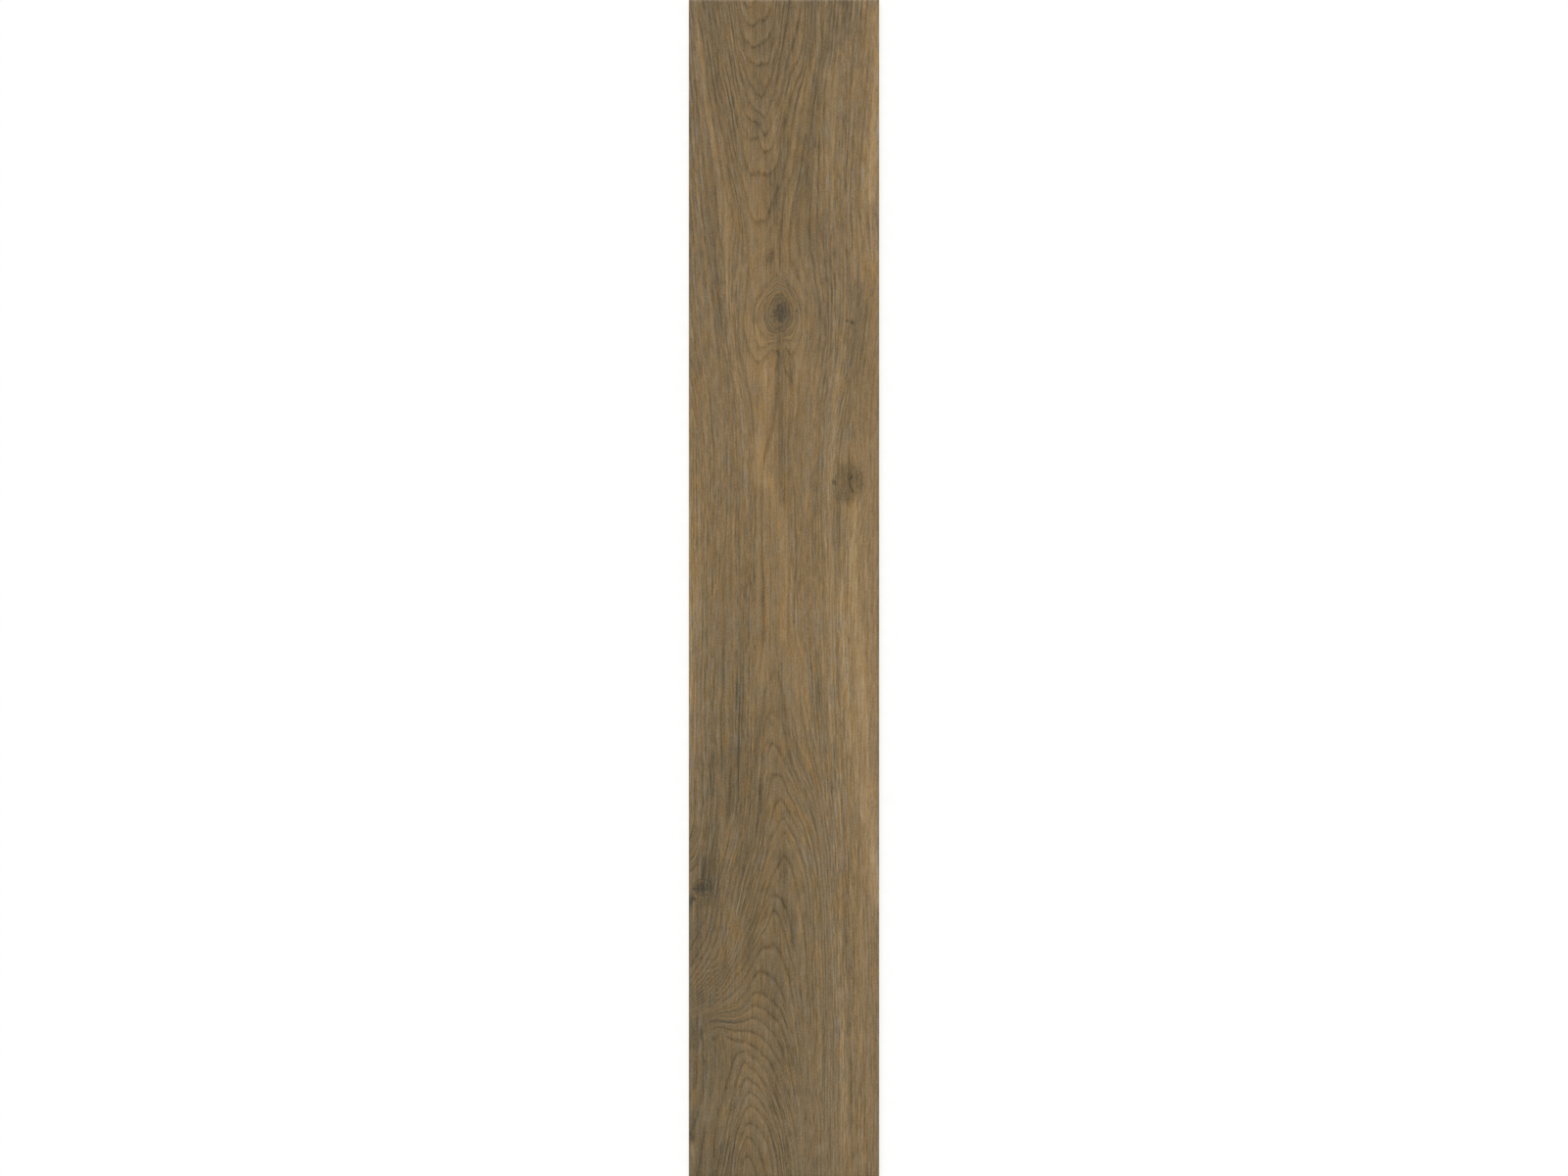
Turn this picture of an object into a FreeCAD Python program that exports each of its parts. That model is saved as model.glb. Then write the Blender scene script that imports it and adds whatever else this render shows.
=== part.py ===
# Wood-look porcelain plank tile: one pressed, fired and edge-ground slab.
# The printed face is up, the long side runs along Y, and the keyed back lies on Z = 0.
# All sizes are in millimetres.
import FreeCAD
import Part

import math
import os

from FreeCAD import Vector

# The slab
PLANK_LENGTH = 1200.0
PLANK_WIDTH = 194.0
PLANK_THICKNESS = 9.5

# The soft arris that rolls the printed face down to the ground edge
ARRIS_WIDTH = 3.0
ARRIS_DROP = 0.6

# The small chamfer round the back
BACK_CHAMFER = 0.8

# The waffle of shallow pockets that keys the back into the adhesive
KEY_DEPTH = 0.7
KEY_RIB_WIDTH = 3.5
KEY_NOMINAL_PITCH = 23.0
KEY_RIM_WIDTH = 7.0
KEY_DRAFT_DEG = 40.0

# How far a drawn-out section runs past the ends that the other section trims
SECTION_OVERRUN = 5.0
# How far a pocket's cutting solid starts below the back
KEY_OVERRUN = 0.3

X_AXIS = Vector(1, 0, 0)
Y_AXIS = Vector(0, 1, 0)
Z_AXIS = Vector(0, 0, 1)
ORIGIN = Vector(0, 0, 0)


def arris_arc(half_span, side):
    """The edge that rolls the face down to one ground edge; side is +1 or -1 along X."""
    radius = (ARRIS_WIDTH ** 2 + ARRIS_DROP ** 2) / (2 * ARRIS_DROP)
    half_turn = math.asin(ARRIS_WIDTH / radius) / 2
    inner_x = half_span - ARRIS_WIDTH
    face_end = Vector(side * inner_x, 0, PLANK_THICKNESS)
    middle = Vector(
        side * (inner_x + radius * math.sin(half_turn)),
        0,
        PLANK_THICKNESS - radius * (1 - math.cos(half_turn)),
    )
    edge_end = Vector(side * half_span, 0, PLANK_THICKNESS - ARRIS_DROP)
    return Part.Arc(face_end, middle, edge_end).toShape()


def line(start, end):
    return Part.LineSegment(start, end).toShape()


def slab_section(span):
    """The slab's section across one span: flat back, chamfers, ground edges, arrises and face."""
    half = span / 2
    wall_top = PLANK_THICKNESS - ARRIS_DROP
    back_x = half - BACK_CHAMFER
    edges = [line(Vector(-back_x, 0, 0), Vector(back_x, 0, 0))]
    for side in (1, -1):
        edges.append(line(Vector(side * back_x, 0, 0), Vector(side * half, 0, BACK_CHAMFER)))
        edges.append(line(Vector(side * half, 0, BACK_CHAMFER), Vector(side * half, 0, wall_top)))
        edges.append(arris_arc(half, side))
    face_x = half - ARRIS_WIDTH
    edges.append(line(Vector(face_x, 0, PLANK_THICKNESS), Vector(-face_x, 0, PLANK_THICKNESS)))
    return Part.Face(Part.Wire(Part.__sortEdges__(edges)))


def profile_bar(span, run):
    """The section across span, drawn out along Y past both ends of run."""
    full_run = run + 2 * SECTION_OVERRUN
    section = slab_section(span)
    section.translate(Vector(0, -full_run / 2, 0))
    return section.extrude(Y_AXIS * full_run)


def plank_blank():
    """The slab before its back is keyed: the two sections meet in mitred corners."""
    across = profile_bar(PLANK_WIDTH, PLANK_LENGTH)
    along = profile_bar(PLANK_LENGTH, PLANK_WIDTH)
    along.rotate(ORIGIN, Z_AXIS, 90)
    return across.common(along).removeSplitter()


def key_grid(span):
    """Pocket centres and pocket size along one span: an even count, with a rib on the middle line."""
    keyed = span - 2 * KEY_RIM_WIDTH + KEY_RIB_WIDTH
    half_count = max(1, round(keyed / KEY_NOMINAL_PITCH / 2))
    pitch = keyed / (2 * half_count)
    centres = [(i + 0.5) * pitch for i in range(-half_count, half_count)]
    return centres, pitch - KEY_RIB_WIDTH


def key_pocket(size_x, size_y):
    """One drafted pocket, opening at Z = 0 and reaching up into the back by KEY_DEPTH."""
    slope = math.tan(math.radians(KEY_DRAFT_DEG))
    mouth_x = size_x / 2 + KEY_OVERRUN * slope
    mouth_y = size_y / 2 + KEY_OVERRUN * slope
    floor_x = size_x / 2 - KEY_DEPTH * slope
    floor_y = size_y / 2 - KEY_DEPTH * slope
    pocket = Part.makeWedge(
        -mouth_x, -KEY_OVERRUN, -mouth_y, -floor_y, -floor_x,
        mouth_x, KEY_DEPTH, mouth_y, floor_y, floor_x,
    )
    pocket.rotate(ORIGIN, X_AXIS, 90)
    return pocket


def key_pockets():
    """All the pockets of the waffle, laid out from the middle of the back."""
    centres_x, size_x = key_grid(PLANK_WIDTH)
    centres_y, size_y = key_grid(PLANK_LENGTH)
    pocket = key_pocket(size_x, size_y)
    pockets = []
    for x in centres_x:
        for y in centres_y:
            pockets.append(pocket.translated(Vector(x, y, 0)))
    return pockets


def plank_tile():
    return plank_blank().cut(Part.makeCompound(key_pockets()))


def main():
    os.makedirs("parts", exist_ok=True)
    tile = plank_tile()
    solid = tile.Solids[0]
    solid.exportStep("parts/plank_tile.step")
    box = solid.BoundBox
    print(f"plank_tile: {len(tile.Solids)} solid, {len(solid.Faces)} faces, valid {solid.isValid()}")
    print(f"box {box.XLength:.3f} x {box.YLength:.3f} x {box.ZLength:.3f} mm, {solid.Volume / 1000:.1f} cm3")


main()
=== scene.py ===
# %% [markdown]
# # A wood look porcelain plank tile
# This is one floor plank, pressed from porcelain clay, printed with an oak board and fired in one piece.
# The CAD model gives its true size, its softened top edge and the waffle on its back.
# Blender adds what the camera sees: the printed oak figure, the satin glaze, the ground edges and the
# bare clay.

import bpy
import numpy as np
from mathutils import Color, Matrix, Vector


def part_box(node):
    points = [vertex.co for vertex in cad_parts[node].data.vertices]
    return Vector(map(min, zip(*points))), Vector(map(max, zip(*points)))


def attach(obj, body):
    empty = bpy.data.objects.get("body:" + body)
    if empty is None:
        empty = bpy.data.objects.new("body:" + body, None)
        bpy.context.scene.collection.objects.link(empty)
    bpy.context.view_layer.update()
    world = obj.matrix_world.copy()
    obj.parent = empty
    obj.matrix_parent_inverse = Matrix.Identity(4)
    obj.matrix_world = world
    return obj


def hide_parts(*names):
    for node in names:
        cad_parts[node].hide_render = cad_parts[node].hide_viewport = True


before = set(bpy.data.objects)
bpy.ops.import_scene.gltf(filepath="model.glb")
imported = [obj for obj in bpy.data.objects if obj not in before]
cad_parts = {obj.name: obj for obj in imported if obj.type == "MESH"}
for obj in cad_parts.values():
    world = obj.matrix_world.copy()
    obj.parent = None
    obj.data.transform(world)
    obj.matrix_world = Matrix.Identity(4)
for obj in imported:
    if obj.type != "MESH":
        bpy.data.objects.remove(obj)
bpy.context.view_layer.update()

# %% [markdown]
# The new surface has to sit exactly where the CAD solid is, so its sizes are read from the solid's points.
# They could be typed in again, but a size that is read stays right when the solid changes.
# Points at full height belong to the walking face, points on the outer sides belong to the ground edges,
# and low points inside the outline belong to the waffle that the mortar keys into.

# %% Read the plank's sizes
MM = 0.001
TOUCH = 1e-5
tile_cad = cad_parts["plank_tile"]
cad_points = np.array([point.co for point in tile_cad.data.vertices])
half_width, half_length, face_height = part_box("plank_tile")[1]
on_face = cad_points[:, 2] > face_height - TOUCH
on_side = np.abs(cad_points[:, 0]) > half_width - TOUCH
on_end = np.abs(cad_points[:, 1]) > half_length - TOUCH
arris_width = half_width - np.abs(cad_points[on_face, 0]).max()
wall_top = cad_points[on_side, 2].max()
wall_foot = cad_points[on_side, 2].min()
arris_drop = face_height - wall_top
arris_radius = (arris_width**2 + arris_drop**2) / (2 * arris_drop)
WIDTH_MM = 2 * half_width / MM
LENGTH_MM = 2 * half_length / MM
print(f"plank {WIDTH_MM:.1f} x {LENGTH_MM:.1f} x {face_height / MM:.1f} mm")
print(f"softened edge {arris_width / MM:.2f} mm wide, {arris_drop / MM:.2f} mm deep")

# %% [markdown]
# The photograph looks straight down on the plank, which fills the picture from top to bottom.
# A long lens far above the floor gives the same flat view. The distance follows from the plank's length:
# the picture's short side takes in that length at the height of the walking face, less a hair at each end,
# so that no floor shows beyond the ends.

# %% Camera above the plank
LENS_MM = 100.0
SENSOR_MM = 36.0
PICTURE_SHAPE = 1200 / 1600
END_TRIM = 0.9 * MM
camera_data = bpy.data.cameras.new("overhead_camera")
camera_data.lens = LENS_MM
camera_data.sensor_width = SENSOR_MM
camera_height = 2 * (half_length - END_TRIM) * LENS_MM / (SENSOR_MM * PICTURE_SHAPE)
camera = bpy.data.objects.new("overhead_camera", camera_data)
camera.location = (0, 0, face_height + camera_height)
bpy.context.collection.objects.link(camera)
bpy.context.scene.camera = camera
print(f"camera {camera_height:.2f} m above the face")

# %% [markdown]
# Product pictures of tiles are lit by a wide, even sky of soft boxes, with a little more light from one
# end. Here the world gives the even part. A sun as wide as a large soft box gives the direction: it
# brightens the softened edge that faces it and leaves the opposite one darker. It is so far away that it
# lights the face evenly from end to end.
# The Standard view keeps colours as they are painted, with no film curve on top.

# %% Soft studio light
SKY_STRENGTH = 0.56
SUN_STRENGTH = 1.85
SUN_WIDTH = 0.7
SUN_PLACE = (-0.5, 4.2, 4.4)
WHITE = (1, 1, 1, 1)
world = bpy.data.worlds.new("soft_studio")
world.use_nodes = True
world.node_tree.nodes["Background"].inputs["Strength"].default_value = SKY_STRENGTH
world.node_tree.nodes["Background"].inputs["Color"].default_value = WHITE
bpy.context.scene.world = world
bpy.context.scene.view_settings.view_transform = "Standard"

sun_data = bpy.data.lights.new("end_softbox", "SUN")
sun_data.energy = SUN_STRENGTH
sun_data.angle = SUN_WIDTH
sun = bpy.data.objects.new("end_softbox", sun_data)
sun.location = SUN_PLACE
sun.rotation_mode = "QUATERNION"
sun.rotation_quaternion = sun.location.to_track_quat("Z", "Y")
bpy.context.collection.objects.link(sun)
print("light from", SUN_PLACE, "as wide as", SUN_WIDTH, "radians")

# %% [markdown]
# Materials here are small networks of nodes. A wire is a number or a colour on its way from one node to
# the next. Sums and products of wires add Math nodes by themselves, so the print's recipe below reads
# like plain arithmetic.

# %% Wires
class Wire:
    """A node's output. Arithmetic with it adds Math nodes to its material."""

    def __init__(self, tree, socket):
        self.tree = tree
        self.socket = socket

    def __add__(self, other):
        return calc("ADD", self, other)

    def __sub__(self, other):
        return calc("SUBTRACT", self, other)

    def __rsub__(self, other):
        return calc("SUBTRACT", other, self)

    def __mul__(self, other):
        return calc("MULTIPLY", self, other)

    def __truediv__(self, other):
        return calc("DIVIDE", self, other)


def plug(value, socket):
    """Joins a wire to a socket, or sets the socket to a plain value."""
    if isinstance(value, Wire):
        value.tree.links.new(value.socket, socket)
    else:
        socket.default_value = value


def calc(operation, *values):
    """The answer of a Math node. At least one of its values is a wire."""
    tree = next(value.tree for value in values if isinstance(value, Wire))
    node = tree.nodes.new("ShaderNodeMath")
    node.operation = operation
    for value, socket in zip(values, node.inputs):
        plug(value, socket)
    return Wire(tree, node.outputs[0])


def largest(first, *others):
    """The largest of several wires."""
    for other in others:
        first = calc("MAXIMUM", first, other)
    return first


def weighted_sum(parts):
    """The sum of (weight, wire) parts."""
    first, *others = [part * weight for weight, part in parts]
    return sum(others, first)


print("wires ready")

# %% [markdown]
# A few more helpers add the other kinds of node, so that each recipe below stays short.

# %% Node helpers
def add_node(tree, kind, output=0, settings=None, **sockets):
    """One output of a new node, with its settings and sockets filled in."""
    node = tree.nodes.new(kind)
    for name, value in (settings or {}).items():
        setattr(node, name, value)
    for name, value in sockets.items():
        plug(value, node.inputs[name.replace("_", " ")])
    return Wire(tree, node.outputs[output])


def soft_step(value, start, end):
    """0 at start and 1 at end, with a smooth change between them. Either of the two may be the larger."""
    falls = start > end
    return add_node(
        value.tree, "ShaderNodeMapRange", "Result", {"interpolation_type": "SMOOTHSTEP"}, Value=value,
        From_Min=min(start, end), From_Max=max(start, end), To_Min=float(falls), To_Max=float(not falls),
    )


def even_noise(place, scale, detail=2.0):
    """Noise from 0 to 1 that is alike in all directions."""
    return add_node(place.tree, "ShaderNodeTexNoise", "Fac", Vector=place, Scale=scale, Detail=detail)


def screen_colour(*parts):
    """A colour picked on a screen, 0 to 255, as the linear light that Blender works in."""
    return (*Color([part / 255 for part in parts]).from_srgb_to_scene_linear(), 1.0)


def colour_ramp(value, stops):
    """The colour that a value from 0 to 1 has on a ramp of (place, colour) stops."""
    node = value.tree.nodes.new("ShaderNodeValToRGB")
    plug(value, node.inputs["Fac"])
    while len(node.color_ramp.elements) < len(stops):
        node.color_ramp.elements.new(1.0)
    for element, (place, colour) in zip(node.color_ramp.elements, stops):
        element.position = place
        element.color = colour
    return Wire(value.tree, node.outputs["Color"])


def add_bump(shader, height, strength, depth_mm):
    """Tilts the light on a shader as if its surface had a height."""
    bump = add_node(height.tree, "ShaderNodeBump", Height=height, Strength=strength, Distance=depth_mm * MM)
    plug(bump, shader.inputs["Normal"])


def new_material(name):
    """A material, its main shader, and a wire that tells the place on the object."""
    material = bpy.data.materials.new(name)
    material.use_nodes = True
    tree = material.node_tree
    tree.nodes.clear()
    shader = tree.nodes.new("ShaderNodeBsdfPrincipled")
    output = tree.nodes.new("ShaderNodeOutputMaterial")
    tree.links.new(shader.outputs[0], output.inputs["Surface"])
    return material, shader, add_node(tree, "ShaderNodeTexCoord", "Object")


print("node helpers ready")

# %% [markdown]
# The plank lies on a pale studio floor, a wide sheet with a faint paper texture.
# A breath of its own glow keeps it near white right up to the plank, as on a light table.
# More lamps could do that too, but they would also change the light on the plank.

# %% Studio floor
FLOOR_HALF = 6.0
FLOOR_GLOW = 0.7
PAPER_ROUGHNESS = 0.9
PAPER_TONES = ((0.3, (0.29, 0.29, 0.29, 1)), (0.7, (0.31, 0.31, 0.31, 1)))
floor_mesh = bpy.data.meshes.new("studio_floor")
floor_corners = [(-1, -1), (1, -1), (1, 1), (-1, 1)]
floor_mesh.from_pydata([(x * FLOOR_HALF, y * FLOOR_HALF, 0) for x, y in floor_corners], [], [(0, 1, 2, 3)])
floor = bpy.data.objects.new("studio_floor", floor_mesh)
bpy.context.collection.objects.link(floor)
paper, paper_shader, paper_place = new_material("pale_floor_paper")
paper_fibre = even_noise(paper_place, 90.0, detail=3.0)
plug(colour_ramp(paper_fibre, PAPER_TONES), paper_shader.inputs["Base Color"])
paper_shader.inputs["Roughness"].default_value = PAPER_ROUGHNESS
paper_shader.inputs["Emission Color"].default_value = WHITE
paper_shader.inputs["Emission Strength"].default_value = FLOOR_GLOW
floor_mesh.materials.append(paper)
print("floor", 2 * FLOOR_HALF, "m wide")

# %% [markdown]
# A flat sawn oak board shows its growth rings as nested curves: vees that point down at the top end, peaks
# that point up lower down, and near straight lines along both sides. The print copies such a board.
# A picture of a board could be laid on instead. Drawn lines were chosen because they stay sharp from any
# distance, and each can be moved. Each line below is one growth ring, given as its ring number and the
# points it passes, in millimetres from the plank's top left corner, first to the right, then down.
# Ring numbers rise inwards: to the innermost vee, to the knot's centre and to the innermost peak.
# A line that runs between two rings has a part number.

# %% Growth lines at the top end
VEE_LINES = (
    (10, (54, 0), (58, 7), (62, 9), (67, 5), (70, -4)),
    (9, (51, 0), (54, 12), (59, 22), (65, 26), (70, 22), (78, 21), (82, 13), (85, 0)),
    (8, (48, 0), (51, 20), (55, 38), (61, 46), (67, 48), (75, 47), (80, 41), (84, 35), (88, 22), (89, 0)),
    (7, (46, 0), (49, 22), (53, 44), (58, 57), (64, 66), (76, 65), (79, 68), (83, 60), (86, 48), (89, 35),
     (93, 0)),
    (6, (43, 0), (47, 28), (51, 52), (56, 70), (62, 84), (69, 94), (73, 101), (78, 93), (81, 87),
     (85, 78), (88, 62), (92, 40), (98, 0)),
    (5, (40, 0), (44, 30), (49, 58), (54, 83), (60, 99), (67, 112), (75, 122), (80, 116), (84, 105),
     (88, 93), (91, 75), (95, 52), (104, 0)),
    (4, (37, 0), (41, 35), (46, 62), (51, 88), (55, 107), (59, 120), (66, 124), (73, 129), (78, 137),
     (83, 128), (88, 117), (92, 103), (95, 88), (99, 70), (104, 52), (108, 37), (111, 20), (114, 0)),
    (3, (33, 0), (37, 35), (42, 62), (47, 90), (52, 115), (57, 132), (61, 141), (66, 145), (71, 143),
     (76, 153), (80, 159), (84, 150), (89, 138), (94, 122), (98, 105), (101, 85), (106, 70), (113, 57),
     (117, 45), (118, 0)),
    (2, (29, 0), (33, 35), (38, 65), (43, 90), (48, 118), (52, 142), (56, 160), (60, 172), (65, 178),
     (75, 177), (87, 178), (91, 166), (93, 148), (97, 125), (102, 105), (107, 90), (113, 76), (118, 62),
     (121, 45), (121, 0)),
    (1, (25, 0), (29, 35), (33, 65), (39, 90), (44, 112), (47, 135), (50, 155), (53, 180), (58, 200),
     (63, 218), (68, 225), (74, 227), (79, 224), (82, 212), (86, 203), (92, 192), (97, 178), (100, 160),
     (103, 140), (107, 115), (111, 97), (116, 78), (121, 60), (124, 40), (124, 0)),
)
print(len(VEE_LINES), "vees")

# %% [markdown]
# On the left the saw cut the rings lengthwise, so they run nearly straight down the side. Only some of them
# are drawn. They lean round the large knot, and lower down they sweep out to the left edge.

# %% Growth lines along the left side
LEFT_LINES = (
    (-1, (55, 248), (54, 275), (52, 300), (50, 330), (51, 352), (56, 374), (61, 395), (64, 420),
     (66, 450), (67, 490), (68, 540), (67, 600), (64, 750), (62, 800), (59, 840), (54, 872), (48, 895),
     (44, 915), (41, 938), (36, 960), (27, 981), (14, 1000), (0, 1013)),
    (-2, (14, 0), (20, 45), (25, 82), (31, 122), (38, 150), (41, 178), (46, 192), (50, 212), (51, 235),
     (47, 285), (46, 315), (47, 345), (50, 375), (54, 400), (57, 422), (60, 447), (62, 480), (63, 540),
     (62, 600), (60, 660), (58, 780), (55, 830), (50, 865), (44, 885), (40, 905), (37, 930), (32, 955),
     (24, 976), (12, 994), (0, 1008)),
    (-4, (4, 0), (12, 80), (16, 115), (21, 150), (26, 190), (30, 220), (34, 260), (36, 300), (38, 330),
     (42, 365), (46, 395), (48, 420), (50, 450), (51, 500), (51, 700), (50, 760), (49, 810), (45, 850),
     (39, 875), (34, 895), (31, 915), (28, 940), (22, 960), (12, 981), (0, 998)),
    (-6, (0, 60), (3, 100), (7, 150), (12, 200), (17, 240), (20, 270), (24, 300), (27, 330), (33, 400),
     (37, 430), (38, 470), (38, 520), (36, 570), (35, 600), (36, 650), (36, 700), (33, 745), (33, 790),
     (31, 830), (28, 865), (26, 890), (25, 915), (22, 935), (14, 958), (0, 982)),
    (-9, (0, 250), (3, 300), (8, 345), (12, 380), (17, 415), (20, 450), (21, 500), (20, 560), (17, 710),
     (17, 760), (19, 800), (18, 840), (14, 865), (7, 882), (-3, 892)),
    (-12, (-2, 385), (4, 410), (8, 440), (8, 480), (9, 540), (9, 660), (7, 780), (6, 830), (2, 855),
     (-4, 865)),
)
print(len(LEFT_LINES), "lines on the left")

# %% [markdown]
# The right side is cut like the left one. Here the rings bend round the large knot and round the small one
# near the right edge, and then they run almost straight to the lower end.

# %% Growth lines along the right side
RIGHT_LINES = (
    (0, (127, 0), (126, 30), (124, 55), (121, 75), (113, 125), (110, 150), (105, 180), (98, 200),
     (93, 222), (92, 255), (95, 275), (101, 290), (108, 303), (114, 318), (115, 335), (111, 350),
     (106, 362), (104, 385), (103, 420), (102, 460), (102, 580), (101, 640), (102, 690), (104, 715),
     (107, 740), (111, 765), (117, 785), (124, 800), (128, 812), (133, 836), (137, 870), (140, 915),
     (142.5, 980), (144.5, 1060), (147, 1200)),
    (-1, (130, 0), (130, 65), (124, 105), (116, 155), (112, 185), (106, 212), (102, 240), (104, 262),
     (109, 281), (115, 298), (119, 318), (120, 340), (117, 365), (112, 390), (110, 420), (108, 460),
     (108, 640), (110, 680), (113, 710), (117, 740), (122, 765), (128, 790), (133, 815), (138, 850),
     (142, 890), (145, 960), (147, 1040), (149.5, 1200)),
    (-2, (132, 0), (132, 60), (130, 85), (121, 160), (118, 190), (113, 215), (111, 240), (114, 262),
     (119, 280), (123, 300), (126, 320), (127, 340), (124, 365), (120, 390), (117, 420), (115, 460),
     (115, 540), (114, 600)),
    (-4, (143, 0), (141, 30), (140, 50), (137, 64), (134.5, 80), (133.5, 100), (133, 135), (131.5, 170),
     (131, 200), (130, 235), (132, 262), (135, 280), (138, 305), (139, 330), (138, 355), (135, 380),
     (131, 410), (129, 440), (128, 480), (127, 540), (127, 600), (128, 650), (130, 700), (133, 740),
     (137, 780), (141, 815), (146, 850), (149, 900), (151.5, 950), (153, 1000), (154, 1060),
     (155.5, 1200)),
    (-7, (160, 0), (157, 40), (154.5, 80), (150.5, 160), (149.5, 200), (149, 250), (150, 290), (150, 320),
     (149, 345), (147, 370), (143, 400), (139, 460), (138, 500), (139, 550), (141, 600), (143, 700),
     (145, 750), (148, 800), (156, 900), (160, 1000), (161, 1060), (162, 1200)),
    (-10, (177, 0), (171, 80), (168, 130), (166, 170), (165, 200), (166, 235), (168, 260), (168, 330),
     (164, 355), (162, 375), (159, 395), (155, 415), (151, 440), (149, 465), (146, 490), (148, 510),
     (150, 550), (152, 650), (153.5, 700), (155.5, 750), (158.5, 800), (162, 850), (165, 900), (167, 950),
     (168.5, 1000), (169.5, 1060), (170, 1200)),
    (-13, (193, 0), (187, 80), (183, 130), (180, 180), (182, 230), (184, 270), (182, 310), (178, 345),
     (173, 380), (170, 420), (170, 455), (176, 480), (176, 500), (170, 520), (164, 545), (162, 580),
     (162, 620), (163, 660), (164.5, 710), (166, 750), (168.5, 800), (172, 850), (174.5, 900),
     (177.5, 1000), (178.5, 1060), (179, 1200)),
    (-15, (199, 80), (196, 130), (193, 200), (194, 300), (182, 400), (179, 450), (182, 490), (178, 530),
     (172, 560), (169, 600), (169, 650), (170.5, 710), (172.5, 760), (175, 800), (178.5, 850), (181, 900),
     (184, 1000), (185, 1060), (185.5, 1200)),
    (-18, (197, 400), (194, 450), (193, 490), (189, 530), (183, 560), (180, 600), (179.5, 650),
     (181, 710), (182.5, 760), (185, 800), (188, 850), (190, 900), (193, 1000), (194, 1060), (195, 1200)),
    (-21, (196, 540), (191, 580), (189.5, 620), (190, 680), (192, 740), (195, 800)),
)
print(len(RIGHT_LINES), "lines on the right")

# %% [markdown]
# A knot is the foot of a branch, so closed rings lie inside each other there. The last line of this set
# runs down the narrow neck between the knot and the peaks.

# %% Growth lines round the large knot and down the neck below it
KNOT_LINES = (
    (0, (60, 235), (61, 265), (60, 295), (57, 318), (56, 338), (61, 356), (69, 369), (77, 364), (84, 357),
     (92, 353), (100, 353), (106, 358)),
    (1, (86, 286), (76, 296), (68, 310), (65, 325), (66, 340), (70, 353), (74, 358), (80, 354), (88, 350),
     (96, 349), (104, 347), (110, 338), (112, 325), (110, 312), (105, 300), (98, 290), (92, 285),
     (86, 286)),
    (2, (92, 291), (83, 297), (76, 305), (71, 318), (71, 332), (75, 342), (82, 346), (92, 344),
     (102, 341), (108, 332), (109, 320), (106, 308), (100, 297), (92, 291)),
    (3, (93, 297), (86, 302), (79, 311), (76, 324), (80, 335), (87, 340), (96, 338), (103, 331),
     (106, 320), (103, 308), (98, 300), (93, 297)),
    (4, (93, 301), (86, 306), (81, 314), (80, 324), (83, 333), (89, 337), (96, 335), (101, 329),
     (103.5, 320), (101, 310), (97, 303), (93, 301)),
    (5, (93, 305), (88, 309), (84.5, 316), (83.5, 324), (87, 331), (92, 334), (97, 331), (100.5, 325),
     (101, 318), (98.5, 310), (96, 306), (93, 305)),
    (0.4, (93, 366), (95, 420), (96, 480), (95, 540), (92, 600), (89, 650), (88, 672)),
)
print(len(KNOT_LINES), "lines at the knot")

# %% [markdown]
# In the lower half the cut comes nearer to the heart of the log, and the rings close into peaks, one inside
# the other. The left feet of the outer ones sweep out to the left edge. The last two lines of this set fill
# in the swirl at that edge.

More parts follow.
